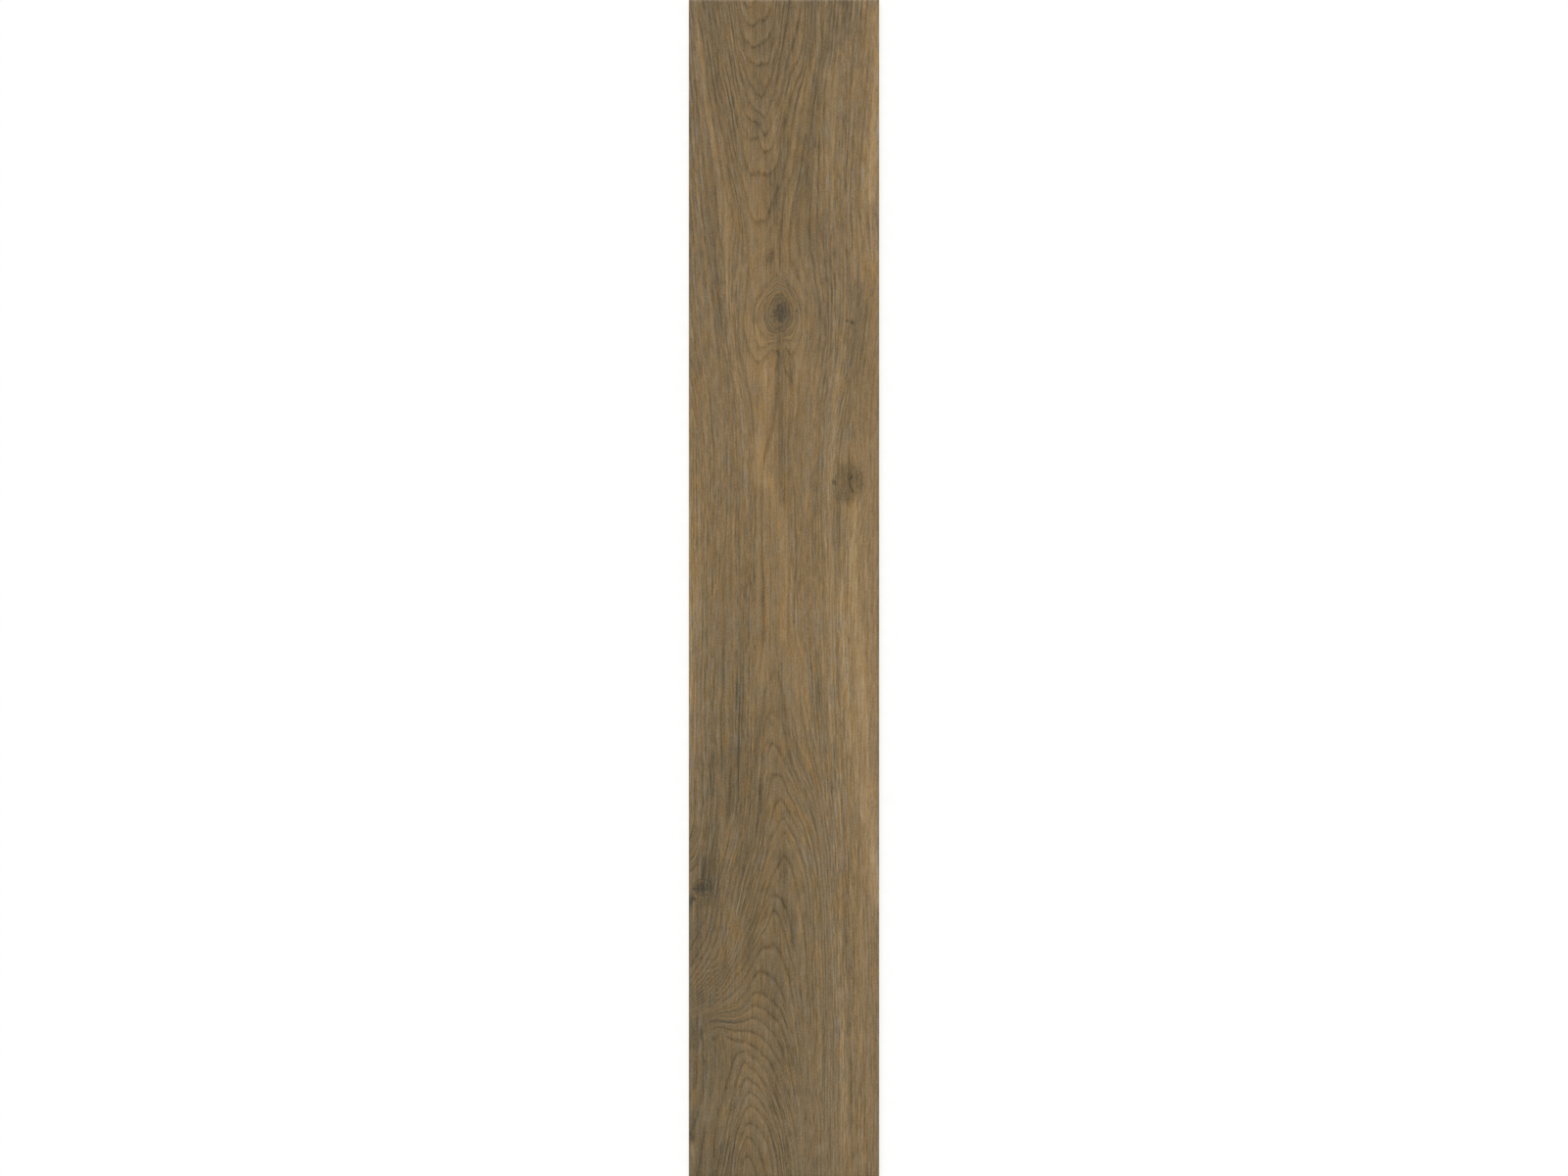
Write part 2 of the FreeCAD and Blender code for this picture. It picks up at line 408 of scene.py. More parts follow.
# %% Growth lines of the peaks in the lower half
PEAK_LINES = (
    (1, (0, 1018), (13, 1005), (25, 991), (36, 974), (44, 950), (48, 925), (54, 900), (61, 870),
     (66, 840), (69, 800), (71, 765), (72, 738), (75, 716), (80, 703), (85, 694), (88, 682), (91, 690),
     (95, 701), (99, 720), (102, 742), (105, 760), (110, 777), (116, 789), (121, 798), (125, 808),
     (128, 820), (131, 836), (135, 858), (138, 885), (141, 920), (142, 960), (142, 1000), (144, 1060),
     (146, 1200)),
    (2, (0, 1021), (13, 1009), (25, 996), (35, 982), (43, 962), (49, 940), (54, 915), (62, 885),
     (69, 855), (73, 815), (75, 780), (76, 750), (78, 730), (82, 728), (87, 731), (92, 727), (95, 734),
     (99, 752), (102, 765), (105, 780), (109, 792), (114, 802), (119, 813), (123, 826), (127, 838),
     (131, 852), (134, 875), (137, 910), (139, 950), (140, 1000), (141, 1060), (142, 1200)),
    (3, (57, 918), (65, 888), (72, 858), (76, 825), (77, 795), (79, 775), (82, 762), (86, 756), (92, 767),
     (98, 780), (103, 793), (108, 808), (112, 818), (116, 827), (120, 838), (124, 851), (128, 868),
     (132, 895), (135, 930), (137, 970), (138, 1010), (139, 1060), (140, 1200)),
    (4, (0, 1025), (14, 1014), (26, 1001), (36, 988), (45, 966), (52, 942), (60, 918), (69, 888),
     (75, 860), (78, 835), (80, 812), (84, 799), (92, 787), (97, 796), (101, 808), (108, 821), (114, 836),
     (119, 852), (124, 872), (128, 900), (131, 940), (133, 1000), (136, 1080), (138, 1200)),
    (5, (56, 944), (64, 920), (73, 890), (79, 862), (83, 840), (88, 822), (93, 815), (98, 823),
     (106, 836), (113, 850), (118, 868), (122, 890), (126, 920), (128, 960), (130, 1020), (134, 1200)),
    (6, (0, 1029), (14, 1020), (27, 1008), (37, 995), (46, 977), (53, 960), (60, 942), (68, 918),
     (74, 893), (79, 872), (85, 855), (91, 842), (96, 834), (101, 842), (107, 857), (113, 870),
     (117, 884), (121, 905), (124, 940), (128, 1060), (131, 1200)),
    (7, (64, 944), (71, 920), (77, 898), (84, 877), (91, 862), (98, 849), (103, 860), (108, 872),
     (112, 886), (117, 903), (121, 935), (123, 990), (125, 1060), (128, 1200)),
    (8, (0, 1032), (17, 1024), (31, 1011), (42, 997), (51, 980), (67, 948), (73, 930), (79, 910),
     (86, 892), (92, 882), (98, 873), (103, 883), (107, 897), (111, 912), (115, 928), (118, 960),
     (120, 1010), (121, 1060), (125, 1200)),
    (9, (34, 1010), (44, 999), (53, 985), (66, 959), (73, 947), (78, 935), (81, 922), (87, 915),
     (94, 918), (99, 929), (103, 942), (107, 960), (111, 985), (114, 1020), (117, 1060), (121, 1120),
     (122, 1200)),
    (10, (0, 1035), (18, 1029), (33, 1017), (44, 1005), (53, 991), (61, 977), (67, 966), (72, 956),
     (77, 949), (87, 925), (92, 936), (97, 949), (100, 965), (105, 980), (109, 995), (112, 1020),
     (114, 1050), (117, 1100), (120, 1200)),
    (11, (22, 1031), (32, 1023), (43, 1014), (52, 1003), (60, 991), (66, 980), (73, 970), (80, 967),
     (88, 967), (93, 971), (97, 985), (105, 1015), (108, 1035), (111, 1060), (115, 1110), (118, 1200)),
    (12, (0, 1038), (20, 1033), (30, 1030), (40, 1028), (49, 1024), (56, 1015), (62, 1005), (68, 994),
     (76, 991), (85, 996), (91, 1005), (96, 1018), (100, 1030), (104, 1045), (108, 1068), (112, 1100),
     (116, 1150), (117, 1200)),
    (13, (22, 1034), (30, 1033), (38, 1033), (46, 1032), (53, 1028), (61, 1019), (66, 1014), (72, 1012),
     (78, 1016), (86, 1022), (93, 1029), (98, 1042), (103, 1062), (107, 1082), (111, 1110), (114, 1150),
     (116, 1200)),
    (14, (24, 1037), (38, 1038), (46, 1037), (53, 1035), (61, 1028), (67, 1024), (73, 1026), (80, 1031),
     (87, 1037), (92, 1042), (96, 1054), (101, 1073), (105, 1094), (109, 1125), (113, 1160), (115, 1200)),
    (15, (0, 1045), (12, 1044), (24, 1041), (36, 1042), (48, 1042), (58, 1041), (66, 1038), (73, 1040),
     (79, 1045), (86, 1052), (91, 1062), (96, 1078), (101, 1100), (106, 1125), (111, 1155), (114, 1200)),
    (16, (0, 1160), (9, 1140), (15, 1115), (19, 1090), (20, 1068), (22, 1054), (28, 1045), (38, 1049),
     (50, 1051), (64, 1053), (73, 1057), (80, 1062), (86, 1070), (92, 1081), (97, 1095), (101, 1112),
     (105, 1135), (109, 1160), (112, 1200)),
    (17, (9, 1200), (14, 1170), (20, 1140), (25, 1112), (27, 1088), (27, 1066), (30, 1051), (35, 1053),
     (42, 1059), (56, 1063), (66, 1069), (76, 1077), (83, 1083), (88, 1092), (93, 1107), (98, 1128),
     (102, 1148), (106, 1175), (108, 1200)),
    (18, (24, 1200), (26, 1170), (30, 1140), (36, 1117), (42, 1100), (46, 1083), (49, 1074), (54, 1071),
     (61, 1075), (69, 1081), (77, 1091), (84, 1104), (91, 1121), (96, 1137), (100, 1160), (104, 1200)),
    (19, (29, 1200), (33, 1172), (38, 1145), (44, 1122), (49, 1100), (52, 1088), (57, 1082), (71, 1096),
     (78, 1106), (85, 1122), (91, 1138), (95, 1152), (100, 1200)),
    (20, (33, 1200), (38, 1172), (43, 1148), (48, 1125), (53, 1107), (58, 1100), (66, 1104), (73, 1111),
     (80, 1123), (87, 1140), (92, 1155), (96, 1175), (98, 1200)),
    (21, (38, 1200), (42, 1172), (46, 1150), (52, 1132), (57, 1118), (62, 1113), (69, 1118), (77, 1129),
     (84, 1143), (89, 1158), (93, 1180), (95, 1200)),
    (22, (42, 1200), (45, 1175), (50, 1150), (56, 1134), (63, 1127), (70, 1131), (77, 1141), (84, 1155),
     (88, 1172), (91, 1200)),
    (23, (46, 1200), (48, 1180), (51, 1163), (56, 1152), (62, 1145), (69, 1149), (76, 1156), (81, 1167),
     (85, 1183), (87, 1200)),
    (24, (49, 1200), (51, 1182), (54, 1168), (60, 1158), (66, 1163), (71, 1171), (75, 1183), (78, 1200)),
    (25, (53, 1200), (55, 1186), (60, 1174), (64, 1184), (68, 1193), (69, 1200)),
    (15, (0, 1125), (6, 1105), (9, 1085), (8, 1068), (0, 1055)),
    (17.6, (37, 1064), (36, 1080), (33, 1098), (28, 1118), (24, 1138), (20, 1165), (18, 1200)),
)
print(len(PEAK_LINES), "peaks")

# %% [markdown]
# Between the drawn lines the ring number has to change smoothly, so that the shader can draw every ring,
# its soft shading and its fibres from one number. Straight steps from line to line would show as creases.
# A thin plate spline has none: it behaves like a springy sheet that is pinned to the right height along
# each line. Length is squeezed first, because grain runs along the plank.

# %% Ring number anywhere on the face
GRAIN_SQUEEZE = 4.0
PIN_SPACING = 7.0
PIN_SLACK = 4.0
ROWS_AT_ONCE = 8000
NEVER_ZERO = 1e-9


def pins_along(lines):
    """Evenly spaced points along the growth lines, squeezed lengthwise, and the ring number at each."""
    places = []
    rings = []
    for ring, *corners in lines:
        path = np.array(corners, float) / (1, GRAIN_SQUEEZE)
        run = np.concatenate(([0], np.cumsum(np.hypot(*np.diff(path, axis=0).T))))
        stops = np.linspace(0, run[-1], max(2, round(run[-1] / PIN_SPACING) + 1))
        places.append(np.column_stack([np.interp(stops, run, values) for values in path.T]))
        rings.append(np.full(len(stops), float(ring)))
    return np.concatenate(places), np.concatenate(rings)


def plate_bend(places, pins):
    """How much each pin bends the sheet at each place: distance squared, times its logarithm."""
    gap = sum((places[:, None, axis] - pins[None, :, axis]) ** 2 for axis in (0, 1))
    return 0.5 * gap * np.log(gap + NEVER_ZERO)


def ring_numbers(lines, right, down):
    """Ring number at points given in millimetres from the top left corner."""
    pins, rings = pins_along(lines)
    count = len(pins)
    tilt = np.column_stack([np.ones(count), pins])
    size = count + tilt.shape[1]
    springs = np.zeros((size, size))
    springs[:count, :count] = plate_bend(pins, pins) + PIN_SLACK * np.eye(count)
    springs[:count, count:] = tilt
    springs[count:, :count] = tilt.T
    pulls = np.linalg.solve(springs, np.concatenate([rings, np.zeros(size - count)]))
    places = np.column_stack([right.ravel(), down.ravel() / GRAIN_SQUEEZE])
    numbers = [
        plate_bend(part, pins) @ pulls[:count] + pulls[count] + part @ pulls[count + 1:]
        for part in np.array_split(places, len(places) // ROWS_AT_ONCE + 1)
    ]
    return np.concatenate(numbers).reshape(right.shape), count


print("ring spline ready")

# %% [markdown]
# Oak also has broad lighter and darker streaks, sapwood along one side and shade round the knots. They
# follow the grain but not the rings, so they are drawn apart, each as its strength in tone levels, its half
# width and its path.

# %% Light streaks
LIGHT_STREAKS = (
    (20, 7, (196, 0), (190, 120), (187, 165), (184, 215)),
    (8, 3, (132, 0), (132, 45), (129, 62), (121, 80), (115, 100), (111, 130), (106, 160), (104, 200),
     (101, 230), (104, 262), (111, 288), (117, 310)),
    (12, 2.6, (8, 30), (12, 75), (16, 105), (22, 132), (26, 155), (31, 185)),
    (10, 3.5, (35, 185), (38, 205), (41, 235), (40, 262), (39, 290), (42, 330), (46, 365), (51, 400),
     (56, 430), (59, 462), (60, 490)),
    (8, 5, (86, 100), (86, 130), (85, 150), (84, 168)),
    (5, 8, (146, 60), (145, 100), (143, 140), (140, 190), (139, 230)),
    (4, 6, (175, 205), (176, 250), (177, 300)),
    (11, 4, (159, 345), (156, 372), (151, 395), (147, 430), (146, 460), (143, 495), (142, 520)),
    (10, 6, (83, 372), (80, 400), (77, 440), (76, 480), (80, 505)),
    (8, 8, (70, 440), (71, 470), (74, 505)),
    (11, 4.5, (84, 480), (88, 515), (94, 540), (96, 580), (97, 620), (96, 660)),
    (9, 3.5, (142, 510), (143, 560), (144, 620), (145, 700), (147, 765)),
    (13, 5, (172, 505), (168, 545), (168, 600), (170, 640), (179, 760), (183, 805), (185, 850),
     (189, 890), (193, 935)),
    (10, 3.5, (154, 585), (156, 640), (159, 690), (163, 730), (168, 768), (174, 805), (179, 845)),
    (5, 20, (170, 540), (170, 680), (176, 820)),
    (12, 2, (0, 450), (1, 600), (1, 735)),
    (6, 7, (8, 480), (6, 720), (5, 850)),
    (7, 6, (49, 905), (48, 940), (44, 985)),
    (8, 3.5, (151, 940), (154, 1010), (158, 1110), (160, 1185)),
    (5, 3, (130, 915), (132, 980), (133, 1040), (131, 1100)),
    (7, 3, (113, 905), (114, 935), (112, 965)),
    (6, 3, (117, 830), (117, 850), (118, 880)),
    (5, 10, (62, 1075), (66, 1110), (66, 1145)),
    (8, 3, (4, 1160), (3, 1185), (2, 1205)),
    (5, 9, (93, 795), (91, 825), (88, 855)),
    (7, 5, (75, 655), (74, 685), (75, 712)),
    (8, 10, (70, 325), (71, 358), (73, 400)),
    (7, 6, (114, 318), (114, 350), (113, 398)),
    (5, 4, (30, 1085), (29, 1115), (27, 1150)),
    (5, 34, (160, 800), (160, 1215)),
    (3, 14, (108, 1040), (114, 1100), (120, 1220)),
    (4, 10, (110, 650), (111, 700), (113, 760)),
    (4, 9, (30, 100), (37, 170), (40, 250)),
    (4, 10, (156, 705), (157, 735), (159, 775)),
    (4, 10, (62, 180), (62, 260), (60, 350)),
    (3, 10, (187, 820), (188, 940), (188, 1150)),
    (4, 9, (12, 385), (12, 545)),
    (4, 8, (35, 40), (38, 85), (44, 135)),
    (5, 10, (38, 875), (38, 990)),
    (3, 14, (180, 860), (180, 1020)),
    (3, 26, (166, 1045), (166, 1260)),
)
print(len(LIGHT_STREAKS), "light streaks")

# %% [markdown]
# Dark streaks are drawn in the same way, with a strength below zero. Some of them shade the knots, the neck
# and the tips of the peaks.

# %% Dark streaks
DARK_STREAKS = (
    (-8, 2.5, (13, -10), (20, 45), (25, 82), (31, 122), (38, 150), (42, 178), (48, 203)),
    (-7, 2.2, (49, 203), (55, 237), (57, 255)),
    (-5, 3, (42, 90), (45, 120), (48, 148)),
    (-7, 6, (18, 150), (24, 200), (26, 230), (27, 265), (30, 310), (33, 350)),
    (-7, 9, (103, -10), (100, 30), (96, 80)),
    (-9, 3, (138, 30), (138, 52), (134, 70), (126, 120), (122, 150)),
    (-8, 9, (123, 130), (120, 170), (119, 200), (120, 235), (125, 275)),
    (-7, 4, (99, 115), (98, 150), (95, 172), (92, 195), (91, 222), (92, 250)),
    (-5, 8, (75, 0), (72, 40)),
    (-7, 4, (72, 75), (74, 105)),
    (-6, 6, (66, 110), (68, 128), (70, 148)),
    (-8, 5, (84, 165), (88, 195), (84, 222)),
    (-4, 5, (82, 245), (84, 262), (87, 292)),
    (-5, 14, (93, 280), (93, 358)),
    (-14, 4, (92, 335), (92, 380), (91, 400), (94, 430), (95, 460), (95, 490), (99, 522)),
    (-7, 3, (103, 358), (105, 402)),
    (-8, 9, (156, -15), (162, 15), (166, 50)),
    (-5, 6, (133, 290), (138, 335), (138, 375)),
    (-6, 4, (168, 320), (167, 340), (163, 370)),
    (-9, 13, (161, 465), (162, 490), (159, 520)),
    (-9, 3, (153, 495), (151, 530), (151, 570)),
    (-5, 5, (37, 540), (36, 620), (35, 705)),
    (-4, 5, (34, 715), (33, 750), (33, 805)),
    (-7, 5, (52, 720), (52, 760), (51, 805)),
    (-5, 3, (27, 720), (25, 770), (22, 815)),
    (-5, 5, (73, 632), (75, 664)),
    (-9, 2.2, (87, 674), (91, 692), (94, 703), (97, 720), (101, 740)),
    (-8, 2.0, (88, 678), (85.5, 694), (84, 706), (83, 722)),
    (-8, 8, (86, 712), (86, 750)),
    (-7, 3.2, (78, 708), (74, 730), (71, 752), (69, 785)),
    (-8, 3.6, (92, 705), (96, 730), (100, 752), (104, 775), (108, 800)),
    (-6, 5, (85, 745), (86, 764), (88, 785)),
    (-7, 2.0, (107, 705), (111, 726), (114, 744), (118, 757), (123, 772)),
    (-5, 5, (73, 790), (73, 825), (70, 860)),
    (-6, 4, (65, 840), (62, 870), (58, 905)),
    (-7, 4, (122, 805), (125, 828), (130, 850)),
    (-7, 6, (97, 865), (97, 888), (96, 908)),
    (-6, 6, (93, 905), (96, 925), (99, 955)),
    (-9, 4, (107, 925), (106, 950), (104, 975)),
    (-14, 12, (17, 868), (17, 900), (14, 932)),
    (-10, 9, (8, 915), (6, 950), (2, 990)),
    (-11, 8, (6, 1028), (5, 1048), (3, 1080)),
    (-6, 5, (65, 925), (63, 950), (58, 990)),
    (-5, 3, (38, 962), (37, 980), (33, 995)),
    (-5, 10, (80, 985), (84, 1015), (90, 1050)),
    (-6, 6, (86, 1065), (90, 1145)),
    (-5, 4, (104, 1055), (106, 1080), (107, 1100)),
    (-5, 3, (156, 880), (158, 930), (161, 970), (165, 1010)),
    (-7, 3, (165, 1070), (165, 1110), (166, 1190)),
    (-7, 3, (132, 690), (134, 730), (134, 755)),
    (-8, 6, (3, 1122), (3, 1148), (2, 1170)),
    (-5, 14, (38, 1160), (38, 1215)),
    (-6, 9, (45, 690), (43, 760), (42, 840)),
    (-4, 20, (80, 860), (80, 1000)),
    (-4, 12, (70, -15), (70, 150)),
    (-4, 22, (20, 1030), (22, 1080), (25, 1130)),
    (-7, 9, (174, 275), (174, 330), (172, 400)),
    (-4, 26, (58, 570), (60, 700), (62, 850)),
    (-5, 7, (145, -15), (150, 20), (152, 60)),
    (-6, 15, (132, -25), (135, 20), (138, 75)),
    (-5, 10, (108, 100), (109, 170), (107, 250)),
    (-5, 22, (180, 285), (180, 360), (174, 455)),
    (-5, 26, (24, 760), (24, 850), (18, 965)),
    (-4, 14, (12, 1005), (12, 1230)),
    (-3, 22, (95, 765), (95, 885)),
    (-4, 10, (63, 945), (61, 985), (58, 1025)),
    (-4, 16, (80, 30), (84, 120), (88, 240)),
    (-5, 9, (132, 215), (132, 365)),
    (-3, 12, (108, 150), (108, 220), (110, 310)),
)
print(len(DARK_STREAKS), "dark streaks")

# %% [markdown]
# The board is redder at its top end, along its middle and at its left edge, and greyer in its lower left
# corner. These places are broad, so they are drawn the same way, but their strength tells how warm they are.

# %% Warm and grey places
WARM_PLACES = (
    (4, 40, (80, -80), (84, 120), (84, 300)),
    (3, 38, (84, 260), (86, 420), (90, 680)),
    (2.5, 18, (28, -20), (38, 120), (44, 280)),
    (4, 22, (6, 330), (6, 480), (8, 660)),
    (2, 14, (186, 200), (186, 600)),
    (2.5, 26, (176, 420), (170, 700), (176, 1300)),
    (2.5, 16, (64, 680), (64, 800), (60, 960)),
    (-2.5, 22, (26, 620), (24, 740), (14, 900)),
    (-4.5, 24, (8, 860), (8, 1300)),
    (-3, 20, (28, 1020), (34, 1120), (34, 1240)),
    (-3, 12, (156, 920), (158, 1040), (158, 1120)),
    (-4, 20, (112, 840), (116, 1040), (118, 1270)),
    (-2, 90, (97, 960), (97, 1320)),
    (4, 14, (186, 230), (186, 440)),
    (2, 18, (122, 0), (122, 100), (116, 220)),
    (-2.2, 12, (184, 680), (184, 1300)),
    (-2, 12, (38, 580), (38, 920)),
    (1.6, 14, (108, 60), (108, 330)),
    (1.6, 14, (180, -80), (180, 320)),
)
print(len(WARM_PLACES), "warm and grey places")

# %% [markdown]
# A streak is a soft ridge across the grain that fades at both its ends. Beneath all the streaks, the whole
# board is a little lighter towards its right side and its middle, given here by a few points along each
# direction, as places in millimetres and tone levels.

# %% Tone and warmth anywhere on the face
STREAK_FADE = 14.0
PLACE_FADE = 80.0
ACROSS_TONE = ((0, -2), (25, -5), (75, -3), (95, -5), (120, -2), (165, 2), (194, 7))
ALONG_TONE = ((0, -3), (120, -1), (300, 1), (450, 2), (650, 4), (850, 0), (1000, -4), (1150, -5), (1200, -8))


def ease(share):
    """A share from 0 to 1 that starts and ends gently."""
    share = np.clip(share, 0, 1)
    return share * share * (3 - 2 * share)


def streak_levels(drawn, right, down, fade_mm):
    """The sum of all drawn streaks, at points in millimetres from the top left corner."""
    total = np.zeros_like(right)
    for strength, half_width_mm, *path in drawn:
        path_right, path_down = np.array(path, float).T
        middle = np.interp(down, path_down, path_right)
        fade = ease((down - path_down[0]) / fade_mm) * ease((path_down[-1] - down) / fade_mm)
        total += strength * fade * np.exp(-(((right - middle) / half_width_mm) ** 2))
    return total


print("tone map ready")

# %% [markdown]
# The walking face is a fine grid of quads. One flat face would give the shape, but the print's numbers are
# stored at points, so there have to be many. The columns are close together because wood figure changes
# quickly across the grain, and the rows are further apart. Near the border a few extra lines follow the
# softened edge, whose height is a circular arc. At the corners the lower of the two arcs wins, which gives
# a mitre.

# %% Walking face
COLUMN_STEP = 0.9 * MM
ROW_STEP = 3.2 * MM
ARRIS_STATIONS = (0.0, 0.1, 0.27, 0.5, 0.74)


def face_lines(half, step):
    """Grid line places from one edge of the face to the other."""
    border = half - arris_width
    flat = np.linspace(-border, border, round(2 * border / step) + 1)
    slope = half - arris_width * np.array(ARRIS_STATIONS)
    return np.concatenate([-slope, flat, slope[::-1]])


def arris_fall(place, half):
    """How far the softened edge has dropped below the face at a place across it."""
    inward = np.clip(np.abs(place) - (half - arris_width), 0, None)
    return arris_radius - np.sqrt(arris_radius**2 - inward**2)


columns = face_lines(half_width, COLUMN_STEP)
rows = face_lines(half_length, ROW_STEP)
face_x, face_y = np.meshgrid(columns, rows)
face_z = face_height - np.maximum(arris_fall(face_x, half_width), arris_fall(face_y, half_length))
print("walking face", len(columns), "columns", len(rows), "rows")

# %% [markdown]
# The back of a pressed tile carries a waffle of shallow pockets with sloping sides. It could be cut out
# with a Boolean modifier, but a grid gives clean faces at once. Its grid lines are taken from the CAD
# points, so the pockets fall exactly where the solid has them. A point is deep only where a floor line of
# one direction meets a floor line of the other.

# %% Keyed back
MICROMETRE_DIGITS = 6
back = cad_points[(cad_points[:, 2] < face_height / 2) & ~on_side & ~on_end]
pocket_depth = back[:, 2].max()
pocket_floor = back[back[:, 2] > pocket_depth - TOUCH]
back_columns = np.unique(back[:, 0].round(MICROMETRE_DIGITS))
back_rows = np.unique(back[:, 1].round(MICROMETRE_DIGITS))
floor_column = np.isin(back_columns, pocket_floor[:, 0].round(MICROMETRE_DIGITS))
floor_row = np.isin(back_rows, pocket_floor[:, 1].round(MICROMETRE_DIGITS))
back_x, back_y = np.meshgrid(back_columns, back_rows)
back_z = np.outer(floor_row, floor_column) * pocket_depth
pocket_counts = (floor_column.sum() // 2, floor_row.sum() // 2)
print("waffle of", *pocket_counts, f"pockets across and along, {pocket_depth / MM:.2f} mm deep")

# %% [markdown]
# All parts join into one watertight skin. Quads cover the face, the ground walls and the back, and one long
# polygon per side closes the small chamfer at the foot. Each group of faces gets its own finish.
# In a pocket's corners the quad is cut along the valley, so that both sloping sides stay flat.

# %% Skin of the plank
PRINT, GROUND, BARE = range(3)
points = []
faces = []
finishes = []


def add_points(x, y, z):
    """Adds a grid of points and returns their numbers in the same layout."""
    start = len(points)
    points.extend(zip(x.ravel().tolist(), y.ravel().tolist(), z.ravel().tolist()))
    return np.arange(start, len(points)).reshape(x.shape)


def border_of(grid):
    """The grid's border as four runs, each from one corner to the next."""
    return grid[0], grid[:, -1], grid[-1, ::-1], grid[::-1, 0]


def add_faces(new_faces, finish):
    """Adds faces with one finish."""
    faces.extend(new_faces)
    finishes.extend([finish] * len(new_faces))


def grid_quads(grid):
    """Corner numbers of every quad in a grid."""
    corners = np.stack([grid[:-1, :-1], grid[:-1, 1:], grid[1:, 1:], grid[1:, :-1]], axis=-1)
    return corners.reshape(-1, 4).tolist()


face_grid = add_points(face_x, face_y, face_z)
add_faces(grid_quads(face_grid), PRINT)
foot_ring = {}
for number in dict.fromkeys(np.concatenate(border_of(face_grid)).tolist()):
    x, y = points[number][:2]
    foot_ring[number] = len(points)
    points.append((x, y, wall_foot))
for run in border_of(face_grid):
    steps = zip(run[:-1].tolist(), run[1:].tolist())
    add_faces([(a, foot_ring[a], foot_ring[b], b) for a, b in steps], GROUND)
back_grid = add_points(back_x, back_y, back_z)
for top_run, back_run in zip(border_of(face_grid), border_of(back_grid)):
    foot_run = [foot_ring[number] for number in top_run.tolist()]
    add_faces([foot_run + back_run[::-1].tolist()], GROUND)
for quad in grid_quads(back_grid):
    depths = [points[number][2] for number in quad]
    deep = [i for i in range(4) if depths[i] > TOUCH]
    turn = deep[0] if len(deep) == 1 else 0
    a, b, c, d = quad[turn:] + quad[:turn]
    add_faces([(a, d, c), (a, c, b)] if len(deep) == 1 else [(d, c, b, a)], BARE)
print(len(points), "points,", len(faces), "faces")

# %% [markdown]
# Blender stores any number per point as an attribute, and a material can read it. Six are written for the
# print: the ring number, the width of one ring in millimetres, the number and width of the grey stripes
# along the sides, the tone of the streaks and the warmth. The width of a ring is the inverse of how fast
# its number climbs. There are about three stripes to four rings, and nearly one to a ring beyond a certain
# ring on the right.

# %% Plank mesh with its figure
RING_WIDTH_LIMITS = (0.5, 60.0)
STRIPES_PER_RING = 0.72
OUTER_STRIPES = 0.92
OUTER_RING = -7
right_mm = (face_x + half_width) / MM
down_mm = (half_length - face_y) / MM
growth_lines = VEE_LINES + LEFT_LINES + RIGHT_LINES + KNOT_LINES + PEAK_LINES
ring, pin_count = ring_numbers(growth_lines, right_mm, down_mm)
climb = np.hypot(*np.gradient(ring, down_mm[:, 0], right_mm[0]))
ring_width = np.clip(1 / climb, *RING_WIDTH_LIMITS)
outer = np.minimum(ring - OUTER_RING, 0) * (right_mm > WIDTH_MM / 2)
stripe = STRIPES_PER_RING * ring + (OUTER_STRIPES - STRIPES_PER_RING) * outer
stripe_width = ring_width / np.where(outer < 0, OUTER_STRIPES, STRIPES_PER_RING)
board_tone = np.interp(right_mm, *zip(*ACROSS_TONE)) + np.interp(down_mm, *zip(*ALONG_TONE))
figure = {
    "ring": ring,
    "ring_width": ring_width,
    "stripe": stripe,
    "stripe_width": stripe_width,
    "tone": board_tone + streak_levels(LIGHT_STREAKS + DARK_STREAKS, right_mm, down_mm, STREAK_FADE),
    "warmth": streak_levels(WARM_PLACES, right_mm, down_mm, PLACE_FADE),
}
plank_mesh = bpy.data.meshes.new("plank_tile_finished")
plank_mesh.from_pydata(points, [], faces)
plank_mesh.polygons.foreach_set("material_index", finishes)
plank_mesh.polygons.foreach_set("use_smooth", [finish == PRINT for finish in finishes])
for name, values in figure.items():
    layer = plank_mesh.attributes.new(name, "FLOAT", "POINT")
    padded = np.zeros(len(points), np.float32)
    padded[face_grid.ravel()] = values.ravel()
    layer.data.foreach_set("value", padded)
plank_mesh.validate()
triangles = sum(len(polygon.vertices) - 2 for polygon in plank_mesh.polygons)
print(f"figure from {pin_count} pins, ring {ring.min():.1f} to {ring.max():.1f}, {triangles} triangles")

# %% [markdown]
# The print is built up in tone levels, the way an ink jet lays it down. One lightness number collects the
# streaks, the fibres, the dark line of each ring, the fine pores and the knots, and a ramp turns it into
# colour at the end. First the material needs to know where it is: millimetres to the right and down, and
# the six stored numbers. In a few loose places, drawn as ovals, the grain swirls and its rings are lost.

# %% Printed oak: where on the board
LOOSE_PLACES = (
    (1.0, 6, 1056, 20, 22),
    (1.0, 14, 906, 11, 11),
    (1.0, 93, 319, 9, 12),
    (1.0, 164, 491, 12, 17),
    (0.6, 88, 700, 25, 45),
    (0.6, 6, 1118, 17, 45),
    (0.8, 92, 348, 5, 10),
)
LOOSE_BORDER = (1.25, 0.7)
oak, oak_shader, oak_place = new_material("printed_oak_glaze")
oak_tree = oak.node_tree
right_at = add_node(oak_tree, "ShaderNodeSeparateXYZ", "X", Vector=oak_place) * (1 / MM) + WIDTH_MM / 2
down_at = add_node(oak_tree, "ShaderNodeSeparateXYZ", "Y", Vector=oak_place) * (-1 / MM) + LENGTH_MM / 2
ring_at, ring_width_at, stripe_at, stripe_width_at, tone_at, warmth_at = [
    add_node(oak_tree, "ShaderNodeAttribute", "Fac", {"attribute_name": name}) for name in figure
]


